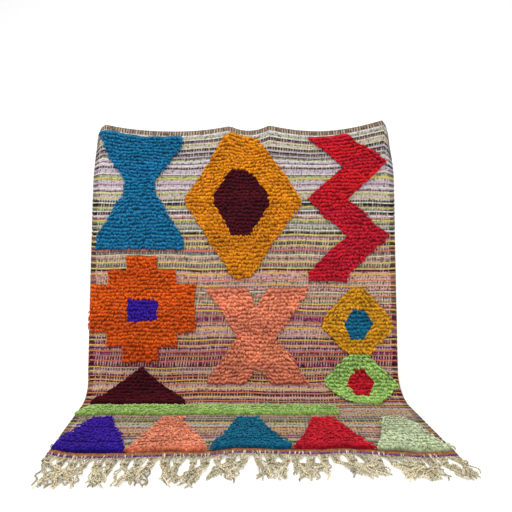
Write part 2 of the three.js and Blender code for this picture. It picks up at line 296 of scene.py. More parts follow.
# The weft colours that the weaver had to hand.
WEFTS = {
    "white": dye(236, 231, 226), "cream": dye(230, 218, 182), "pale_yellow": dye(228, 206, 120),
    "yellow": dye(238, 194, 92), "tan": dye(214, 174, 136), "pink": dye(220, 164, 154),
    "coral": dye(222, 130, 92), "rust": dye(198, 124, 72), "pale_lilac": dye(210, 192, 207),
    "lilac": dye(196, 146, 170), "mauve": dye(140, 96, 120), "magenta": dye(158, 44, 98),
    "plum": dye(92, 28, 56), "brown": dye(78, 48, 36), "taupe": dye(126, 102, 86),
    "grey": dye(118, 108, 102), "charcoal": dye(40, 34, 34), "slate": dye(84, 92, 112),
    "sage": dye(128, 134, 108), "pale_green": dye(172, 184, 136), "dark_green": dye(52, 62, 36),
}
# Down to here, the plain lines' width and how far warps show in them, the most dashed bands
# between two lines and how far warps show in those, the lines' colours, the bands' colours.
STRETCHES = [
    (0.40, 0.0088, 0.24, 2, 0.66, ["white", "cream", "pale_yellow", "white", "pale_lilac"],
     ["grey", "pale_lilac", "pale_lilac", "dark_green", "pale_green", "charcoal", "mauve"]),
    (0.66, 0.0082, 0.24, 2, 0.66, ["white", "pink", "pale_yellow", "pale_lilac"],
     ["mauve", "pink", "grey", "lilac", "charcoal", "pale_green", "pink"]),
    (0.98, 0.0068, 0.0, 3, 0.66, ["yellow", "cream", "coral", "pale_yellow"],
     ["pink", "magenta", "lilac", "plum", "sage", "mauve", "pink"]),
    (1.26, 0.0064, 0.0, 3, 0.65, ["yellow", "pale_yellow", "coral", "yellow"],
     ["plum", "magenta", "mauve", "pink", "brown", "magenta", "lilac"]),
    (1.48, 0.0068, 0.0, 2, 0.60, ["yellow", "pale_yellow", "coral", "pale_yellow"],
     ["magenta", "pink", "plum", "tan", "brown", "magenta", "lilac"]),
    (LENGTH - 0.030, 0.0062, 0.22, 3, 0.58, ["cream", "yellow", "pink", "pale_yellow"],
     ["grey", "tan", "pale_lilac", "pink", "slate", "pale_green", "pink"]),
]
TOP_BAND = 0.031        # the flecked taupe band under the top edge
END_BAND = 0.026        # the plain rust band over the lower edge
LINE_SHARES = (0.72, 1.25)      # the narrowest and widest line, as shares of the usual width
BAND_WIDTHS = (0.006, 0.0115)   # the narrowest and widest dashed band
LEAST_BAND = 0.003      # the least width of the brown band over the rust one
SHOWN_SPREAD = 0.15     # how much more or less the warps show in one band than in another
chance = np.random.default_rng(11)


def weft_bands(rng):
    """Each band of weft from the top down: where it ends, its colour, and how far warps show."""
    bands, down = [(TOP_BAND, "taupe", 0.70)], TOP_BAND
    for end, line, line_shown, most, band_shown, lines, wide in STRETCHES:
        while down < end:
            down += line * rng.uniform(*LINE_SHARES)
            bands.append((down, str(rng.choice(lines)), line_shown))
            shades = rng.choice(wide, 2, replace=False)
            for shot in range(rng.integers(2, most + 1)):
                down += rng.uniform(*BAND_WIDTHS)
                shown = band_shown + rng.uniform(-SHOWN_SPREAD, SHOWN_SPREAD)
                bands.append((down, str(shades[shot % 2]), shown))
    bands = [band for band in bands if band[0] < LENGTH - END_BAND - LEAST_BAND]
    return [*bands, (LENGTH - END_BAND, "brown", 0.2), (LENGTH, "rust", 0.3)]


BANDS = weft_bands(chance)
BAND_ENDS = np.array([end for end, _, _ in BANDS])


def weft_at(down):
    """The weft's colour, how far warps show in it, and its band, at places down the cloth."""
    band = np.clip(np.searchsorted(BAND_ENDS, down), 0, len(BANDS) - 1)
    colours = np.array([WEFTS[colour][:3] for _, colour, _ in BANDS])
    dashes = np.array([shown for _, _, shown in BANDS])
    return colours[band], dashes[band], band


WARP_PITCH = 0.0135     # from one bundle of warps that shows to the next
RIB_PITCH = 0.0034      # from one shot of weft to the next
BAND_SLIP = 0.0011      # how far the warps shift sideways from band to band
SWAY = 0.010            # how far they sway on the way down
WARP_CREAM = dye(230, 216, 186)
# the painted shade in the weave's small crevices
CREVICE_SHADE = dye(34, 26, 30)


def weave_finish():
    """Weft ribs in the bands' colours, with cream warps showing in upright dashes."""
    dyer = Dyer("striped_weave")
    cloth = dyer.trait("cloth", "Vector")
    weft = dyer.trait("weft", "Color")
    dashes = dyer.trait("dashes")
    apart = dyer.node("SeparateXYZ", {0: cloth})
    across, down = apart.outputs[0], apart.outputs[1]

    # A warp shows where it stands out more than the weft of its band hides.
    sway = dyer.noise(cloth, 14.0, 2.0)
    slid = dyer.total(across, (dyer.trait("band"), BAND_SLIP), (sway, SWAY))
    streaks = dyer.noise(cloth, (118.0, 15.0, 1.0), 3.0, 0.62)
    warp = dyer.total(dyer.product(dyer.wave(slid, WARP_PITCH), 0.55), (streaks, 3.2))
    hidden = dyer.between(dashes, 0.0, 1.0, 2.75, 1.35)
    shown = dyer.between(dyer.total(warp, (hidden, -1.0)), 0.0, 0.35, 0.0, 0.92)

    # The weft's yarns differ in tone, and painted shade darkens small crevices in the dashed bands.
    yarn = dyer.noise(cloth, (46.0, 300.0, 1.0), 2.0)
    colour = dyer.shade(weft, dyer.between(yarn, 0.3, 0.7, 0.66, 1.3))
    crevice_shade = dyer.between(dyer.noise(cloth, (92.0, 70.0, 1.0), 1.0), 0.40, 0.47, 1.0, 0.0)
    crevice_shade = dyer.product(crevice_shade, dyer.between(dashes, 0.1, 0.5, 0.0, 0.75))
    colour = dyer.blend(crevice_shade, colour, CREVICE_SHADE)
    colour = dyer.blend(shown, colour, dyer.blend(0.3, WARP_CREAM, weft))

    # Painted shade darkens rib hollows and pits, fibres vary the tone, and all three make the relief.
    rib = dyer.between(dyer.wave(down, RIB_PITCH), -1.0, 1.0)
    pits = dyer.between(dyer.noise(cloth, (170.0, 240.0, 1.0), 1.0), 0.36, 0.5, 0.5, 1.0)
    fibre = dyer.noise(cloth, 900.0, 3.0, 0.6)
    colour = dyer.shade(colour, dyer.product(
        dyer.between(rib, 0.0, 1.0, 0.74, 1.08), pits, dyer.between(fibre, 0.2, 0.8, 0.85, 1.12)))
    height = dyer.total(rib, (shown, 0.8), (pits, 0.9), (fibre, 0.35))
    return dyer.finish(colour, height, depth=0.0011, roughness=0.95, sheen=0.08)


PACKED_EDGE = 0.026     # the outermost warps, packed so close that only weft shows
COLUMNS = 64            # columns of the weave's points between its packed edges
LINE_STEP = 0.010       # from one line of its points to the next
SEAM = 0.0004           # down the weave, while one band's colour gives way to the next
WANDER = 0.0034         # how far the bands stray from straight in long waves
SHORT_WANDER = 0.0016
PUCKER = 0.0012         # how far the weave puckers between its bands
BACK_LIFT = 0.0002      # how far the weave's back stays off the floor under it


def weave_lines():
    """Places down the cloth with a line of points, two of them close together at each seam."""
    lines = [0.0]
    for end in BAND_ENDS:
        start = lines[-1]
        count = max(1, round((end - start) / LINE_STEP))
        lines.extend(start + (end - start) * np.arange(1, count + 1) / count)
        lines.append(lines[-1] + SEAM)
    return [line for line in lines if line < LENGTH] + [LENGTH]


def flat_weave():
    """Front and back of the weave, joined round their edges."""
    inner, step = HALF - PACKED_EDGE, 0.001
    middle = np.linspace(-inner, inner, COLUMNS)
    across, down = np.meshgrid([-HALF, -inner - step, *middle, inner + step, HALF], weave_lines())
    weft, dashes, band = weft_at(down.ravel() - SEAM / 2)
    packed = (np.abs(across.ravel()) > inner + step / 2) & (dashes > 0.3)
    weft[packed] = weft[packed] ** 1.3 * 0.55
    dashes[packed] = 0.05

    wander = WANDER * np.sin(across * 8.5 + down * 4)
    wander += SHORT_WANDER * np.sin(across * 27 - down * 15)
    fading = 1 - ease(down, LENGTH - 0.12, LENGTH - END_BAND)
    down = down + wander * ease(down, 0.02, 0.1) * fading
    pucker = PUCKER * np.sin(across * 61 + 3 * np.sin(down * 23)) * np.sin(down * 47 + across * 11)
    pucker *= 1 - ease(down, HANG_END, BEND_END)
    pucker *= np.minimum(ease(HALF - np.abs(across), 0, 0.03), ease(down, 0, 0.03))
    front = on_cloth(across, down, GROUND + pucker)
    back = on_cloth(across, down, BACK_LIFT + pucker)
    rows, columns = across.shape
    total = rows * columns
    faces = grid_faces(rows, columns) + grid_faces(rows, columns, total, flip=True)
    number = np.arange(total).reshape(rows, columns)
    rim = np.concatenate([number[0], number[1:, -1], number[-1, -2::-1], number[-2:0:-1, 0]])
    after = np.roll(rim, -1)
    faces += np.stack([rim, after, after + total, rim + total], -1).tolist()
    cloth = np.stack([across.ravel(), down.ravel(), 0 * down.ravel()], -1)
    traits = {"cloth": cloth, "weft": weft, "dashes": dashes, "band": band}
    traits = {trait: np.concatenate([values, values]) for trait, values in traits.items()}
    return make_piece("flat_weave", np.stack([front, back]), faces, weave_finish(), traits)


weave = flat_weave()
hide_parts("rug_body")

# The selvedges
# The outermost warps on each side are bundled and wrapped by every weft as it turns, which
# makes a thicker, darker rounded cord down each edge of the cloth.

SELVEDGE_IN = 0.0026     # from the edge of the weave in to the middle of its cord
SELVEDGE_WIDE = 0.0038
SELVEDGE_THICK = 0.0024
SELVEDGE_RINGS = 320
SELVEDGE_SIDES = 8
WRAP_PITCH = 0.0042      # from one turn of weft round the cord to the next


def tube(centres, sideways, upward, sides):
    """Rings of points round a line: sideways and upward are the half axes of each ring."""
    turn = np.linspace(0, 2 * math.pi, sides, endpoint=False)[:, None]
    around = np.cos(turn) * sideways[..., None, :]
    around = around + np.sin(turn) * upward[..., None, :]
    return centres[..., None, :] + around


def ring_places(along, sides):
    """For each point of some tubes, the turn of its ring's side and its place along the tube."""
    turn = np.broadcast_to(np.linspace(0, 2 * math.pi, sides, endpoint=False), (*along.shape, sides))
    return np.stack([np.cos(turn), np.sin(turn), np.broadcast_to(along[..., None], turn.shape)], -1)


def tube_faces(count, rings, sides):
    """Faces for a number of closed tubes, each of the same rings, with flat ends."""
    ring = np.arange(rings - 1)[:, None] * sides
    side = np.arange(sides)
    following = (side + 1) % sides
    one = np.stack([ring + side, ring + following, ring + sides + following, ring + sides + side], -1)
    starts = np.arange(count) * rings * sides
    walls = (one.reshape(1, -1, 4) + starts[:, None, None]).reshape(-1, 4).tolist()
    first = (starts[:, None] + side[::-1]).tolist()
    last = (starts[:, None] + (rings - 1) * sides + side).tolist()
    return walls + first + last


def selvedge_finish():
    """Dark wrapped weft, lit by the paler lines of the weave where they turn round it."""
    dyer = Dyer("wrapped_selvedge")
    cloth = dyer.trait("cloth", "Vector")
    along = dyer.node("SeparateXYZ", {0: cloth}).outputs[1]
    wraps = dyer.between(dyer.wave(along, WRAP_PITCH), -1.0, 1.0)
    fibre = dyer.noise(cloth, 700.0, 3.0)
    # Painted shade darkens the grooves between the turns of weft; fibres vary the tone.
    tone = dyer.product(dyer.between(wraps, 0.0, 1.0, 0.55, 1.1),
                        dyer.between(fibre, 0.0, 1.0, 0.7, 1.3))
    colour = dyer.shade(dyer.trait("weft", "Color"), tone)
    height = dyer.total(wraps, (fibre, 1.0))
    return dyer.finish(colour, height, depth=0.0009, roughness=0.95, sheen=0.1)


selvedge_material = selvedge_finish()
for side, name in ((-1, "selvedge_left"), (1, "selvedge_right")):
    down = np.linspace(0.002, LENGTH - 0.002, SELVEDGE_RINGS)
    wide = SELVEDGE_WIDE * (1 + 0.12 * np.sin(down * 310))
    edge = side * (HALF - SELVEDGE_IN)
    middle = on_cloth(edge, down, SELVEDGE_THICK)
    outward = (on_cloth(side * HALF, down, SELVEDGE_THICK) - middle) / SELVEDGE_IN * wide[:, None]
    upward = on_cloth(edge, down, SELVEDGE_THICK * 2) - middle
    rings = tube(middle, side * outward, upward, SELVEDGE_SIDES)
    faces = tube_faces(1, SELVEDGE_RINGS, SELVEDGE_SIDES)
    weft, dashes, _ = weft_at(down)
    dark = np.array(WEFTS["charcoal"][:3])
    weft = np.where(dashes[:, None] > 0.4, weft * 0.35 + dark * 0.4, weft)
    cloth = np.stack([0 * down + side, down, 0 * down], -1)
    traits = {"cloth": np.repeat(cloth, SELVEDGE_SIDES, axis=0),
              "weft": np.repeat(weft, SELVEDGE_SIDES, axis=0)}
    make_piece(name, rings, faces, selvedge_material, traits)

# The blocks of pile
# Each block is rows of wool knots, tied round pairs of warps and cut by hand, so that the
# ends hang over the row below. The wool was dyed in small lots, which differ row by row.

PILE = 0.014            # how far the pile stands off the weave
ROW = 0.0182            # from one row of knots to the next
ROW_COUNT = 100         # rows between the strips of plain weave at the top and the end
TOP_STRIP = 0.038
EDGE_WOBBLE = 0.0025
EDGE_CLEAR = 0.004      # no knot is tied nearer to the edge of the cloth
STEEPEST = 1.2          # the most that a block's edge runs sideways, for each metre down
JOINED = 0.016          # bars of a block that are nearer than this share one run of pile

# The left and right edges of each block's pile at places down the cloth, as down, left and
# right in millimetres. The two bars of the cross are listed one by one.
BLOCKS = [
    ("hourglass", [(38, -748, -318), (90, -735, -325), (300, -610, -452), (372, -608, -450),
                   (600, -750, -312), (650, -752, -300)]),
    ("lozenge", [(38, -62, 40), (60, -100, 70), (380, -292, 288), (430, -292, 290),
                 (770, -70, 55), (800, -40, 30)]),
    ("zigzag", [(38, 330, 530), (215, 520, 735), (400, 325, 530), (590, 525, 740),
                (770, 340, 540), (820, 335, 520)]),
    ("stepped_lozenge", [(690, -590, -440), (765, -590, -440), (766, -680, -340),
                         (845, -680, -340), (846, -775, -240), (1075, -775, -245),
                         (1076, -685, -335), (1155, -685, -335), (1156, -600, -430),
                         (1230, -600, -430)]),
    ("cross", [(860, -180, 10), (1330, 130, 330)]),
    ("cross", [(860, 130, 330), (1330, -185, 10)]),
    ("upper_small_lozenge", [(860, 540, 610), (1010, 405, 748), (1055, 400, 752),
                             (1190, 530, 625)]),
    ("lower_small_lozenge", [(1190, 530, 625), (1310, 405, 750), (1345, 405, 755),
                             (1455, 520, 640)]),
    ("triangle", [(1265, -530, -490), (1430, -735, -290), (1455, -740, -285)]),
    ("band", [(1480, -700, 420), (1560, -775, 415)]),
    ("first_tooth", [(1600, -680, -600), (1858, -775, -475)]),
    ("second_tooth", [(1600, -370, -290), (1858, -475, -165)]),
    ("third_tooth", [(1600, -40, 40), (1858, -155, 155)]),
    ("fourth_tooth", [(1600, 290, 370), (1858, 165, 475)]),
    ("fifth_tooth", [(1600, 600, 680), (1858, 480, 775)]),
]
HEARTS = {              # blocks of a second wool, set inside another block
    "lozenge": ("lozenge_heart", [(230, -50, 20), (380, -150, 130), (430, -150, 134),
                                  (590, -48, 22)]),
    "stepped_lozenge": ("stepped_heart", [(905, -582, -430), (1015, -582, -430)]),
    "upper_small_lozenge": ("upper_small_heart", [(960, 550, 605), (1035, 500, 655),
                                                  (1120, 550, 605)]),
    "lower_small_lozenge": ("lower_small_heart", [(1255, 555, 600), (1330, 505, 655),
                                                  (1400, 550, 605)]),
}
WOOLS = {               # painted shade deep in the pile, own colour on the rows, painted highlight at their crests
    "blue": (dye(2, 34, 66), dye(8, 90, 136), dye(40, 136, 182)),
    "gold": (dye(118, 44, 4), dye(202, 118, 8), dye(234, 160, 34)),
    "maroon": (dye(16, 2, 6), dye(58, 6, 18), dye(92, 20, 34)),
    "red": (dye(92, 2, 12), dye(178, 10, 28), dye(216, 42, 54)),
    "orange": (dye(118, 26, 2), dye(192, 66, 8), dye(226, 104, 30)),
    "violet": (dye(12, 2, 62), dye(38, 10, 134), dye(70, 36, 168)),
    "salmon": (dye(146, 54, 30), dye(222, 118, 82), dye(242, 160, 126)),
    "mustard": (dye(112, 56, 4), dye(196, 132, 14), dye(230, 174, 46)),
    "green": (dye(68, 104, 28), dye(148, 192, 90), dye(186, 222, 134)),
    "pale_green": (dye(112, 130, 84), dye(186, 202, 156), dye(214, 226, 190)),
    "teal": (dye(2, 36, 56), dye(6, 86, 122), dye(34, 122, 156)),
}
BLOCK_WOOLS = {
    "hourglass": "blue", "lozenge": "gold", "lozenge_heart": "maroon", "zigzag": "red",
    "stepped_lozenge": "orange", "stepped_heart": "violet", "cross": "salmon",
    "upper_small_lozenge": "mustard", "upper_small_heart": "teal",
    "lower_small_lozenge": "green", "lower_small_heart": "red", "triangle": "maroon",
    "band": "green", "first_tooth": "violet", "second_tooth": "salmon", "third_tooth": "teal",
    "fourth_tooth": "red", "fifth_tooth": "pale_green",
}


def row_run(edges, row, seed):
    """The ends of a block's pile at the top of a row, and their slopes, or None outside it."""
    down, *sides = np.array(edges).T / 1000
    middle = TOP_STRIP + ROW * (row + 0.5)
    if not down[0] <= middle <= down[-1]:
        return None
    ends = []
    for side, places in enumerate(sides):
        above, here, below = np.interp([middle - ROW / 2, middle, middle + ROW / 2], down, places)
        stepped = abs(below - above) > 2 * ROW
        slope = 0.0 if stepped else float(np.clip((below - above) / ROW, -STEEPEST, STEEPEST))
        place = here - slope * ROW / 2 + EDGE_WOBBLE * uneven(seed + 3 * side)
        ends.append((float(np.clip(place, EDGE_CLEAR - HALF, HALF - EDGE_CLEAR)), slope))
    return ends


def heart_run(heart, row):
    """The ends of the pile of a block's heart in a row, or None outside it."""
    return row_run(heart, row, row * 31 + 100)


def block_runs(bars, heart=None):
    """Every run of a block's pile as its row, left end and right end, its heart left open."""
    runs = []
    for row in range(ROW_COUNT):
        found = [row_run(edges, row, row * 31 + number * 7) for number, edges in bars]
        joined = []
        for left, right in sorted(run for run in found if run):
            if joined and left[0] < joined[-1][1][0] + JOINED:
                joined[-1] = (joined[-1][0], max(joined[-1][1], right))
            else:
                joined.append((left, right))
        opening = heart and joined and heart_run(heart, row)
        if opening:
            joined = [(joined[0][0], opening[0]), (opening[1], joined[0][1])]
        runs += [(row, left, right) for left, right in joined]
    return runs


def heart_runs(bars, heart):
    """Every run of the pile of a block's heart."""
    rows = sorted({row for row, _, _ in block_runs(bars)})
    found = [(row, heart_run(heart, row)) for row in rows]
    return [(row, *run) for row, run in found if run]


WOOL_TWIST = 0.011      # along a yarn, from one ridge of its plies to the next


def wool_finish(name):
    """Wool in its own colour, with painted shade at roots and tips and a painted highlight on crests."""
    root_shade, row_colour, crest_highlight = WOOLS[name]
    dyer = Dyer(name + "_wool")
    ramp = dyer.node("ValToRGB", {"Fac": dyer.trait("tip")})
    stops = ramp.color_ramp.elements
    stops[0].position, stops[0].color = 0.03, root_shade
    stops[1].position, stops[1].color = 0.40, crest_highlight
    tip_shade = tuple(0.25 * low + 0.75 * high for low, high in zip(root_shade, row_colour))
    for position, colour in ((0.72, row_colour), (1.0, tip_shade)):
        stops.new(position).color = colour

    # Each cut end, worn patch, dye lot and fibre lightens or darkens the wool at random.
    cloth = dyer.trait("cloth", "Vector")
    patches = dyer.noise(cloth, 7.0, 3.0)
    lot = dyer.trait("lot")
    fibre = dyer.noise(cloth, (1500.0, 320.0, 700.0), 3.0, 0.6)
    # The curls add painted highlight flecks and darker specks; the grooves between the plies get painted
    # shade.
    curls = dyer.noise(cloth, 260.0, 4.0, 0.85)
    plies = dyer.plies(WOOL_TWIST)
    tone = dyer.product(
        dyer.between(dyer.trait("tone"), -1.0, 1.0, 0.70, 1.30),
        dyer.between(patches, 0.3, 0.7, 0.86, 1.12), dyer.between(lot, -1.0, 1.0, 0.88, 1.1),
        dyer.between(fibre, 0.25, 0.75, 0.80, 1.16), dyer.between(curls, 0.36, 0.66, 0.76, 1.39),
        dyer.between(plies, -1.0, -0.2, 0.80, 1.03))
    colour = dyer.shade(ramp.outputs[0], tone, dyer.between(lot, -1.0, 1.0, 0.4965, 0.5010))
    height = dyer.total(fibre, (plies, 0.45), (curls, 1.2))
    return dyer.finish(colour, height, depth=0.0009, roughness=0.94, sheen=0.03)


WOOL_MATERIALS = {name: wool_finish(name) for name in WOOLS}
LEAN_REACH = 0.03       # how far into a row its pile follows the slope of the block's edge
ROW_WANDER = 0.0030     # how far a row strays from straight in long waves
SHORT_ROW_WANDER = 0.0018
LOT_ROWS = 3.7          # rows that one lot of dyed wool lasted


def lean_at(across, left, right):
    """How much a row's pile follows the slopes of its block's two edges at a place in it."""
    near_left = np.exp(-np.abs(across - left[0]) / LEAN_REACH)
    near_right = np.exp(-np.abs(right[0] - across) / LEAN_REACH)
    return left[1] * near_left + right[1] * near_right


def row_line(across, row):
    """How far a row of knots wanders up or down, much as the rows next to it do."""
    long_wave = ROW_WANDER * np.sin(across * 21 + row * 0.5)
    return long_wave + SHORT_ROW_WANDER * np.sin(across * 58 - row * 1.3)


def lot_of(row, number):
    """The dye lot of a row's wool in a block, by the block's number."""
    return uneven(np.floor(np.asarray(row) / LOT_ROWS + number * 0.61) * 7 + number)


KNOT_PITCH = 0.0095     # from one knot of a row to the next
ENDS_APART = 0.0022     # from the middle of a knot to each of its two cut ends
REACH = 0.0212          # how far the ends hang down over the rows below
LYING_LESS = 0.004      # how much less they reach where the rug lies
SLANT = 0.0095          # how far they hang aslant, in long waves along a row
SPLAY = 0.010           # how far in from the ends of a run its knots splay outward
PAST_EDGE = 0.004       # no end hangs further than this past the edge of the cloth

# A cut end from its root to its tip, where the rug hangs and where it lies and the pile
# stands up: shares of its reach, shares of its height, and its half widths.
END_REACHES = np.array([0.0, 0.12, 0.38, 0.70, 1.0])
HANGING_HEIGHTS = np.array([0.0, 0.70, 1.0, 0.92, 0.50])
LYING_HEIGHTS = np.array([0.0, 0.60, 0.92, 1.04, 1.02])
HANGING_GIRTHS = np.array([0.0020, 0.0028, 0.0031, 0.0029, 0.0014])
LYING_GIRTHS = np.array([0.0019, 0.0031, 0.0040, 0.0044, 0.0032])
END_RINGS, END_SIDES = 5, 4


def tied_knots(runs):
    """For every knot: its place, row, outward splay and lean, and 1 if no row is below it."""
    knots, piled = [], {row for row, _, _ in runs}
    for row, left, right in runs:
        count = max(2, round((right[0] - left[0]) / KNOT_PITCH))
        spots = left[0] + (right[0] - left[0]) * (np.arange(count) + 0.5) / count
        from_left, from_right = spots - left[0], right[0] - spots
        nearest = np.minimum(from_left, from_right)
        outward = np.where(from_left < from_right, -1.0, 1.0) * np.exp(-nearest / SPLAY)
        lean = lean_at(spots, left, right)
        lowest = np.full(count, float(row + 1 not in piled))
        knots.append(np.stack([spots, np.full(count, row), outward, lean, lowest], -1))
    return np.concatenate(knots).T


def cut_ends(runs, number, rng):
    """The cut ends of every knot in some runs: their points in cloth places, traits, faces."""
    spot, row, outward, lean, lowest = tied_knots(runs)
    total = len(spot)
    slant = SLANT * np.sin(spot * 17 + row * 0.45) + rng.normal(0, 0.0032, total)
    bulk = np.clip(rng.normal(0, 0.15, total), -0.32, 0.32)
    extra = rng.normal(0, 0.0020, total)
    knot_tone = rng.normal(0, 0.26, total)
    spot = spot + rng.normal(0, 0.0008, total)
    sunk = rng.normal(0, 0.0024, total)

    # Both ends of a knot share its slant and bulk, and differ a little.
    total *= 2
    half = np.repeat([-1.0, 1.0], total // 2)
    spot, row, outward, lean, lowest, slant, bulk, extra, knot_tone, sunk = (
        np.tile(values, 2)
        for values in (spot, row, outward, lean, lowest, slant, bulk, extra, knot_tone, sunk))
    down = TOP_STRIP + ROW * row + 0.002 + row_line(spot, row) + sunk
    lying = ease(down, HANG_END, BEND_END) * (1 - lowest)
    bulk = bulk * (1 - 0.6 * lying)
    reach = (REACH - LYING_LESS * lying) * (1 + bulk * 0.5) + extra
    reach += rng.normal(0, 0.0022, total) * (1 + 0.5 * lying)
    proud = PILE * (1.0 + 0.1 * uneven(row) + bulk + rng.normal(0, 0.070, total))
    fluff = rng.normal(0, 0.0022, total) * lying
    drift = slant + outward * rng.uniform(0.001, 0.005, total) + half * 0.0007 + fluff

    # The middle line of each end, and its rings, a little flatter than wide.
    share = np.linspace(0, 1, END_RINGS)
    upright = lying[:, None]
    lift = HANGING_HEIGHTS * (1 - upright) + LYING_HEIGHTS * upright
    along = down[:, None] + reach[:, None] * END_REACHES
    across = (spot + half * ENDS_APART)[:, None] + drift[:, None] * share ** 1.3
    across = across + (lean * reach)[:, None] * END_REACHES
    across = np.clip(across, -HALF - PAST_EDGE, HALF + PAST_EDGE)
    height = GROUND - 0.001 + proud[:, None] * lift
    centres = np.stack([across, along, height], -1)
    tangent = np.gradient(centres, axis=1)
    tangent /= np.linalg.norm(tangent, axis=-1, keepdims=True)
    sideways = np.cross(tangent, np.array([0.0, -0.5, 1.0]))
    sideways = np.where(np.abs(sideways[..., :1]) > 0.05, sideways, np.array([1.0, 0, 0]))
    sideways /= np.linalg.norm(sideways, axis=-1, keepdims=True)
    frontward = np.cross(sideways, tangent)
    girth = HANGING_GIRTHS + (LYING_GIRTHS - HANGING_GIRTHS) * upright
    girth = girth * (1 + rng.normal(0, 0.08, total))[:, None]
    rings = tube(centres, sideways * girth[..., None], frontward * (girth * 0.8)[..., None], END_SIDES)

    tone = np.clip(knot_tone + rng.normal(0, 0.44, total) + 0.12 * uneven(row * 3 + 5), -1, 1)
    # Along each end: painted shade at its root, a painted highlight on its crest, painted shade at its
    # tip; standing ends stop short of that.
    shown = share * (1 - 0.45 * upright)
    yarn = ring_places(reach[:, None] * share + 0.01 * half[:, None], END_SIDES)
    traits = {"tip": np.repeat(shown.ravel(), END_SIDES), "yarn": yarn.reshape(-1, 3),
              "tone": np.repeat(tone, END_RINGS * END_SIDES),
              "lot": np.repeat(lot_of(row, number), END_RINGS * END_SIDES)}
    return rings.reshape(-1, 3), traits, tube_faces(total, END_RINGS, END_SIDES)


# Sections of the bed of yarn under the cut ends, and of the backs of the knots behind the
# weave: how far down from the top of the row, and how far off the back of the cloth.
BED = np.array([(-0.0035, 0.0035), (0.002, 0.0105), (0.015, 0.0105), (0.0205, 0.0035)])
KNOT_BACKS = np.array([(0.0095, 0.0006), (0.0085, -0.0011), (0.0045, -0.0011), (0.0035, 0.0006)])
BED_RISE = 0.003        # how much higher the bed stands where the rug lies
INSET = 0.003           # how far a strip ends inside its run
OFF_FLOOR = 0.02        # how far before the lying end the backs of the knots stop


def shifted(faces, start):
    """The same faces on points that stand further on in the list."""
    return [[corner + start for corner in face] for face in faces]


def row_strips(runs, number, section, tip, pitch):
    """A low closed strip of one section along each run: points, traits and faces."""
    points, faces, start = [], [], 0
    traits = {"tip": [], "yarn": [], "tone": [], "lot": []}
    sides = len(section)
    for row, left, right in runs:
        count = max(3, round((right[0] - left[0]) / pitch) + 1)
        spots = np.linspace(left[0] + INSET, right[0] - INSET, count)[:, None]
        down = TOP_STRIP + ROW * row + section[:, 0] + row_line(spots, row)
        across = spots + lean_at(spots, left, right) * section[:, 0]
        lying = ease(down, HANG_END, BEND_END)
        crest = section[:, 1] > 0.01
        height = np.broadcast_to(section[:, 1], down.shape) + BED_RISE * lying * crest
        points.append(np.stack([across, down, height], -1).reshape(-1, 3))
        faces += shifted(tube_faces(1, count, sides), start)
        start += count * sides
        # On the wool's ramp the bed sits in painted shade, lightened toward the painted highlight where
        # the rug lies.
        traits["tip"].append((tip + 0.16 * lying).ravel())
        traits["yarn"].append(ring_places(np.repeat(spots, sides, 1), 1).reshape(-1, 3))
        traits["tone"].append(np.repeat(0.4 * uneven(np.arange(count) * 3 + row * 7), sides))
        traits["lot"].append(np.full(count * sides, float(lot_of(row, number))))
    traits = {trait: np.concatenate(values) for trait, values in traits.items()}
    return np.concatenate(points), traits, faces


def pile_block(name, number, runs, rng):
    """A block's cut ends, the bed of yarn under them, and its knots' backs behind the weave."""
    layers = [cut_ends(runs, number, rng), row_strips(runs, number, BED, 0.15, 0.022)]
    behind = [run for run in runs if TOP_STRIP + ROW * (run[0] + 1) < BEND_END - OFF_FLOOR]
    if behind:
        layers.append(row_strips(behind, number, KNOT_BACKS, 0.5, 0.02))
    faces, start = [], 0
    for points, _, made in layers:
        faces += shifted(made, start)
        start += len(points)
    cloth = np.concatenate([points for points, _, _ in layers])
    traits = {trait: np.concatenate([made[trait] for _, made, _ in layers])
              for trait in layers[0][1]}
    traits["cloth"] = cloth
    points = on_cloth(cloth[:, 0], cloth[:, 1], cloth[:, 2])
    return make_piece("pile_" + name, points, faces, WOOL_MATERIALS[BLOCK_WOOLS[name]], traits)


bars_of = {}
for number, (name, edges) in enumerate(BLOCKS):
    bars_of.setdefault(name, []).append((number, edges))

for name, bars in bars_of.items():
    number = bars[0][0]
    heart_name, heart = HEARTS.get(name, (None, None))
    pile_block(name, number, block_runs(bars, heart), chance)
    if heart:
        pile_block(heart_name, number, heart_runs(bars, heart), chance)

# The twined edge
# Two purple wool yarns are twisted round each other and round every warp in turn, which locks
# the last weft and leaves a small rope along the lower edge of the cloth.

EDGE_WIDTH = 0.012
TWINE_GIRTH = 0.0038
TWINE_PITCH = 0.017     # along the edge, for one whole turn of a yarn
TWINE_SWING = 0.0022    # how far each yarn swings out and in
TWINE_RISE = 0.0014     # half of how far it rises and falls
TWINE_RINGS, TWINE_SIDES = 640, 7


def floor_points(across, out, height):
    """Points over the floor, at a distance out from the lower edge of the weave."""
    edge = back_points(np.asarray(across, float), np.full(np.shape(across), LENGTH)) + PLACE
    return np.stack([edge[..., 0], edge[..., 1] - out, np.broadcast_to(height, np.shape(across))], -1)


def rope_rings(centres, girth, sides):
    """Rings square to lines of points, of one girth or of one for each point of a line."""
    tangent = np.gradient(centres, axis=-2)
    tangent /= np.linalg.norm(tangent, axis=-1, keepdims=True)
    sideways = np.cross(tangent, np.array([0.0, 0.0, 1.0]))
    sideways /= np.maximum(np.linalg.norm(sideways, axis=-1, keepdims=True), 1e-6)
    upward = np.cross(sideways, tangent)
    girth = np.broadcast_to(girth, centres.shape[:-1])[..., None]
    return tube(centres, sideways * girth, upward * girth, sides)


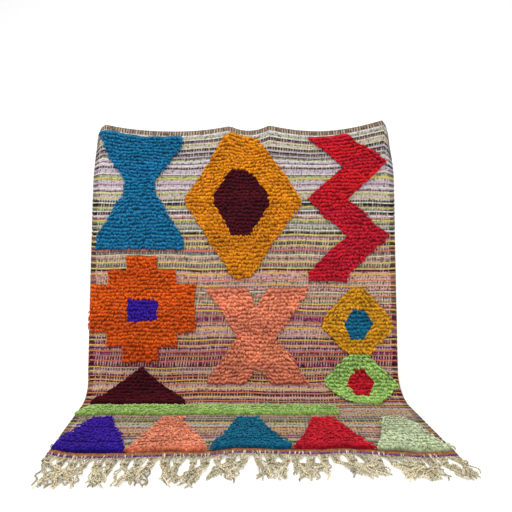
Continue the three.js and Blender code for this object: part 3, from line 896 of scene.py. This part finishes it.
def twine_finish():
    """Purple wool, faded in patches and specked with pink."""
    dyer = Dyer("purple_twine")
    cloth = dyer.trait("cloth", "Vector")
    faded = dyer.between(dyer.noise(cloth, 60.0, 2.0), 0.35, 0.65)
    colour = dyer.blend(faded, dye(74, 26, 110), dye(132, 66, 150))
    specks = dyer.between(dyer.noise(cloth, 190.0, 1.0), 0.55, 0.62, 0.0, 0.6)
    colour = dyer.blend(specks, colour, dye(206, 176, 186))
    fibre = dyer.noise(cloth, 800.0, 3.0)
    plies = dyer.plies(0.007)
    # Painted shade darkens the grooves between the plies; fibres vary the tone.
    tone = dyer.product(dyer.between(fibre, 0.2, 0.8, 0.7, 1.25),
                        dyer.between(plies, -1.0, 0.2, 0.62, 1.0))
    height = dyer.total(plies, (fibre, 1.0))
    return dyer.finish(dyer.shade(colour, tone), height, depth=0.0008, roughness=0.94, sheen=0.03)


twine_across = np.linspace(0.003 - HALF, HALF - 0.003, TWINE_RINGS)
twine_lines = []
for start in (0.0, math.pi):
    turn = 2 * math.pi * twine_across / TWINE_PITCH + start
    out = EDGE_WIDTH / 2 + TWINE_SWING * np.sin(turn)
    height = TWINE_GIRTH + TWINE_RISE * (1 + np.cos(turn))
    twine_lines.append(floor_points(twine_across, out, height))
twine_lines = np.stack(twine_lines)
twine_rings = rope_rings(twine_lines, TWINE_GIRTH, TWINE_SIDES)
twine_yarn = ring_places(np.stack([twine_across] * 2), TWINE_SIDES)
twine = make_piece("twined_edge", twine_rings, tube_faces(2, TWINE_RINGS, TWINE_SIDES),
                   twine_finish(),
                   {"cloth": twine_rings.reshape(-1, 3), "yarn": twine_yarn.reshape(-1, 3)})
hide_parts("fringe")

# The fringe
# The warps run on past the twined edge as undyed two-ply cords. They are gathered nine at a
# time into overhand knots, and their loose ends lie tangled on the floor.

FRINGE = np.array([     # across, how far it reaches out, how far its ends drift sideways
    (-0.775, 0.185, 0.004), (-0.640, 0.175, 0.030), (-0.480, 0.165, -0.006),
    (-0.330, 0.172, 0.022), (-0.180, 0.176, -0.032), (-0.030, 0.165, -0.030),
    (0.060, 0.160, 0.008), (0.200, 0.158, -0.018), (0.330, 0.145, 0.016),
    (0.470, 0.142, 0.042), (0.600, 0.140, 0.012), (0.700, 0.132, 0.026),
    (0.775, 0.124, 0.046),
])
KNOTS = 32
CORDS = 9               # to a knot
SHORT_SHARE, SHORT_LENGTH = 0.12, 0.72          # of the cords, and of a cord's usual length
OVER_SHARE = 0.16       # of the cords, that come out over the twined edge and not from under it
CORD_GIRTH = 0.0029
CORD_RINGS, CORD_SIDES = 37, 5
ROOT_IN = 0.004         # how far inside the twined edge a cord starts
LAYER = 0.0036          # how far apart the tangle's layers lie
BUNDLE_WIDE, BUNDLE_HIGH = 0.0080, 0.0040       # half axes of the cords' ring in a knot
BUNDLE_MIDDLE = 0.0066  # its height over the floor

# Where each knot stands, how far out it lies, how far it is drawn sideways, and how tightly
# it gathers its cords.
KNOT_SPOTS = np.arange(KNOTS) + 0.5 + 0.24 * uneven(np.arange(KNOTS) * 3 + 8)
KNOT_ACROSS = -HALF + WIDTH * KNOT_SPOTS / KNOTS
KNOT_OUT = 0.046 * (1 + 0.14 * uneven(np.arange(KNOTS) * 5 + 2))
KNOT_SHIFT = np.interp(KNOT_ACROSS, FRINGE[:, 0], FRINGE[:, 2]) / 5
KNOT_HOLD = 0.60 + 0.34 * uneven(np.arange(KNOTS) * 11 + 4)


def cord_finish():
    """Undyed wool cord: two plies, painted shade in the groove between them, and a little soiling."""
    dyer = Dyer("undyed_cord")
    cloth = dyer.trait("cloth", "Vector")
    soiled = dyer.between(dyer.noise(cloth, 30.0, 3.0), 0.35, 0.7)
    colour = dyer.blend(soiled, dye(250, 240, 206), dye(232, 216, 176))
    ply = dyer.between(dyer.plies(0.0085), -1.0, 1.0)
    fibre = dyer.noise(cloth, 900.0, 3.0, 0.6)
    # Specks of painted shadow stand for the gaps where cords cross over one another.
    specks = dyer.noise(cloth, 130.0, 2.0, 0.6)
    tone = dyer.product(
        dyer.between(ply, 0.0, 0.6, 0.52, 1.07), dyer.between(fibre, 0.2, 0.8, 0.82, 1.14),
        dyer.between(dyer.trait("tone"), -1.0, 1.0, 0.40, 1.18),
        dyer.between(specks, 0.37, 0.50, 0.46, 1.06))
    height = dyer.total(ply, (fibre, 0.3))
    return dyer.finish(dyer.shade(colour, tone), height, depth=0.0011, roughness=0.9, sheen=0.04)


def cord_traits(rings, lines, tone):
    """Where each point lies round and along its cord, and the cord's tone, any painted shade included."""
    step = np.linalg.norm(np.diff(lines, axis=-2), axis=-1)
    along = np.concatenate([np.zeros((len(step), 1)), np.cumsum(step, -1)], -1)
    each = rings.shape[-3] * rings.shape[-2]
    return {"yarn": ring_places(along, rings.shape[-2]).reshape(-1, 3),
            "cloth": rings.reshape(-1, 3), "tone": np.repeat(tone, each)}


def tangled_groups(rng):
    """The two ends of the tangle that each knot's loose ends join: one to four knots share it."""
    pitch, inset = WIDTH / KNOTS, 0.006
    start, end, knot = np.zeros(KNOTS), np.zeros(KNOTS), 0
    while knot < KNOTS:
        size = min(int(rng.integers(1, 5)), KNOTS - knot)
        start[knot:knot + size] = -HALF + pitch * knot + inset
        end[knot:knot + size] = -HALF + pitch * (knot + size) - inset
        knot += size
    return start, end


def loose_cords(rng):
    """The middle line of every fringe cord, from its root to its tip, and its tone with painted shade."""
    total = KNOTS * CORDS
    number = np.arange(total)
    knot, place = number // CORDS, number % CORDS
    root = -HALF + WIDTH * (number + 0.5) / total
    knot_out = KNOT_OUT[knot][:, None]
    drift = np.interp(root, FRINGE[:, 0], FRINGE[:, 2])
    length = np.interp(root, FRINGE[:, 0], FRINGE[:, 1]) * rng.uniform(0.76, 1.04, total)
    length = np.where(rng.random(total) < SHORT_SHARE, length * SHORT_LENGTH, length)[:, None]
    turn = 2 * math.pi * place / CORDS + knot
    share = np.linspace(0, 1, CORD_RINGS)
    out = -ROOT_IN + (length + ROOT_IN) * share
    gather = ease(out, 0, knot_out + 0.006)
    past = np.clip((out - knot_out - 0.010) / (length - knot_out - 0.010), 0, 1)

    # Past its knot each cord crosses its tangle at a slant, and swings and curls on the way.
    start, end = tangled_groups(rng)
    across_tangle = rng.uniform(0.08, 0.92, total)
    tip = drift + start[knot] + (end - start)[knot] * across_tangle - root
    at_knot = KNOT_ACROSS[knot] + KNOT_SHIFT[knot] - root + BUNDLE_WIDE * np.cos(turn)
    phase = rng.uniform(0, 2 * math.pi, (4, total, 1))
    swings = rng.uniform(1.2, 2.6, (total, 1))
    free = np.minimum(1, past * 3)
    swing = rng.uniform(0.003, 0.009, (total, 1)) * np.sin(2 * math.pi * swings * past + phase[0])
    curl_size = rng.uniform(0.0006, 0.0017, (total, 1)) * np.minimum(1, past * 4)
    curls = 2 * math.pi * (out - knot_out) / rng.uniform(0.022, 0.036, (total, 1))
    held = gather * KNOT_HOLD[knot][:, None]
    side = at_knot[:, None] * held * (1 - past) + tip[:, None] * past + swing * free
    side += curl_size * np.sin(curls + phase[1])
    slack = np.sin(math.pi * np.clip(out / knot_out, 0, 1))
    side += rng.uniform(-0.006, 0.006, (total, 1)) * slack
    out = out + 0.008 * np.sin(2 * math.pi * swings * past + phase[2]) * free * (1 - past)

    # It comes down from its knot to its own layer of the tangle, or to the floor.
    low = CORD_GIRTH + 0.0002
    bundle = (BUNDLE_HIGH * np.sin(turn) + BUNDLE_MIDDLE)[:, None]
    layer = rng.integers(0, 4, total)[:, None]
    loose = low + layer * LAYER * np.sin(past * math.pi) ** 0.7
    loose = loose + curl_size * (1 + np.sin(curls + phase[3]))
    height = np.where(past > 0, bundle * (1 - past) ** 3 + loose * (1 - (1 - past) ** 3),
                      (low + 0.0008) * (1 - gather) + bundle * gather)
    height += rng.uniform(0, 0.009, (total, 1)) * slack ** 2

    # Those that come out over the twined edge start further in and arch over it.
    over = (rng.random(total) < OVER_SHARE)[:, None]
    out = np.where(over, out - 0.008 * (1 - np.minimum(1, share * 8)), out)
    arch = 0.0126 * np.clip(1 - ((out + ROOT_IN) / 0.013) ** 2, 0, 1)
    height = np.where(over, np.maximum(height, arch), height)
    # The tone varies at random, with painted shade on the lower layers and on one cord in five.
    tone = 0.45 * rng.uniform(-1, 1, total) + 0.3 * (layer[:, 0] - 1.2)
    tone = tone - 0.5 * (rng.random(total) < 0.2)
    lines = floor_points(np.repeat(root[:, None], CORD_RINGS, 1), EDGE_WIDTH - 0.002 + out, 0.0)
    lines[..., 0] += side
    lines[..., 2] = np.maximum(height, low)
    return lines, np.clip(tone, -1, 1)


cord_material = cord_finish()
cord_lines, cord_tone_and_shade = loose_cords(chance)
cord_girth = np.full(CORD_RINGS, CORD_GIRTH)
cord_girth[-1] *= 0.6       # its cut tip
cord_rings = rope_rings(cord_lines, cord_girth, CORD_SIDES)
cords = make_piece("fringe_cords", cord_rings, tube_faces(len(cord_lines), CORD_RINGS, CORD_SIDES),
                   cord_material, cord_traits(cord_rings, cord_lines, cord_tone_and_shade))
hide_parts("fringe")

# Each knot is one of its own cords, wrapped round the others nearly twice.
WRAP_RINGS = 30
WRAP_TURNS = 1.75
WRAP_RUN = 0.010        # how far out the turns run along the bundle
WRAP_WIDE, WRAP_HIGH = 0.0116, 0.0062   # half axes of a turn
WRAP_MIDDLE = 0.0094    # its height over the floor

wrap = np.linspace(0, 1, WRAP_RINGS)
wrap_turn = 2 * math.pi * WRAP_TURNS * wrap + np.arange(KNOTS)[:, None]
wrap_out = EDGE_WIDTH + KNOT_OUT[:, None] - 0.004 + WRAP_RUN * wrap
wrap_lines = floor_points(np.repeat(KNOT_ACROSS[:, None], WRAP_RINGS, 1), wrap_out, 0.0)
wrap_lines[..., 0] += KNOT_SHIFT[:, None] + WRAP_WIDE * np.cos(wrap_turn)
wrap_lines[..., 2] = WRAP_MIDDLE + WRAP_HIGH * np.sin(wrap_turn)
wrap_rings = rope_rings(wrap_lines, CORD_GIRTH, CORD_SIDES)
wrap_traits = cord_traits(wrap_rings, wrap_lines, 0.3 * uneven(np.arange(KNOTS)))
knots = make_piece("fringe_knots", wrap_rings, tube_faces(KNOTS, WRAP_RINGS, CORD_SIDES),
                   cord_material, wrap_traits)
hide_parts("fringe")

# The white studio
# A white floor runs up into a white wall with no corner. Wide soft lamps stand overhead and
# in front, as they do where such goods are photographed.

STUDIO_WHITE = dye(246, 246, 246)
PAPER_GLOW = 0.25       # the paper glows by itself, painted light with no lamp behind it
PAPER_HALF = 20.0       # wide enough to fill views from the sides too
PAPER_FRONT = -8.0
PAPER_UNDER = 0.0006    # how far it lies under the rug
WALL_PLACE = 3.2
WALL_HEIGHT = 6.0
SWEEP = 1.2             # radius of its bend from floor to wall
DAYLIGHT = 0.56

bend = np.linspace(0, math.pi / 2, 14)
bend_places = WALL_PLACE - SWEEP + SWEEP * np.sin(bend)
profile = [(PAPER_FRONT, 0.0), *zip(bend_places, SWEEP - SWEEP * np.cos(bend)),
           (WALL_PLACE, WALL_HEIGHT)]
paper_points = np.array([(x, y, z - PAPER_UNDER)
                         for y, z in profile for x in (-PAPER_HALF, PAPER_HALF)])
paper = Dyer("studio_paper")
for socket, value in (("Base Color", STUDIO_WHITE), ("Roughness", 1.0),
                      ("Specular IOR Level", 0.0), ("Emission Color", (1, 1, 1, 1)),
                      ("Emission Strength", PAPER_GLOW)):
    paper.shader.inputs[socket].default_value = value
paper_faces = grid_faces(len(profile), 2, flip=True)
floor = put_in_scene("studio_floor", make_mesh("studio_floor", paper_points, paper_faces, paper.material))

world = bpy.data.worlds.new("studio")
world.use_nodes = True
world.node_tree.nodes["Background"].inputs["Color"].default_value = (1, 1, 1, 1)
world.node_tree.nodes["Background"].inputs["Strength"].default_value = DAYLIGHT
bpy.context.scene.world = world


def lamp(name, place, target, size, power):
    """A wide square lamp that points from its place to a target."""
    data = bpy.data.lights.new(name, "AREA")
    data.shape, data.size, data.energy = "SQUARE", size, power
    made = put_in_scene(name, data)
    made.location = place
    aim = Vector(target) - Vector(place)
    made.rotation_euler = aim.to_track_quat("-Z", "Y").to_euler()


lamp("overhead", (-0.7, -0.9, 3.2), (0.0, 0.1, 0.4), 2.6, 60)
lamp("front", (1.2, -3.4, 2.4), (0.0, 0.3, 0.7), 2.2, 38)

# The camera stands a little above the rug's middle and looks down a little.
CAMERA_TILT = 5.35      # degrees
CAMERA_HEIGHT = 0.896
CAMERA_FROM_HEM = 1.519
CAMERA_ASIDE = 0.065
PICTURE_WIDTH = 36.0    # in the camera, in millimetres
LENS_SHARE = 0.829      # focal length over picture width

camera_data = bpy.data.cameras.new("camera")
camera_data.sensor_width = PICTURE_WIDTH
camera_data.lens = PICTURE_WIDTH * LENS_SHARE
camera = put_in_scene("camera", camera_data)
mean_hem = float(PLACE[1] - follow_runs(np.array([LENGTH]))[0][0])
camera.location = (PLACE[0] + CAMERA_ASIDE, mean_hem - CAMERA_FROM_HEM, CAMERA_HEIGHT)
camera.rotation_euler = (math.radians(90 - CAMERA_TILT), 0.0, 0.0)
bpy.context.scene.camera = camera
bpy.context.scene.view_settings.view_transform = "Standard"
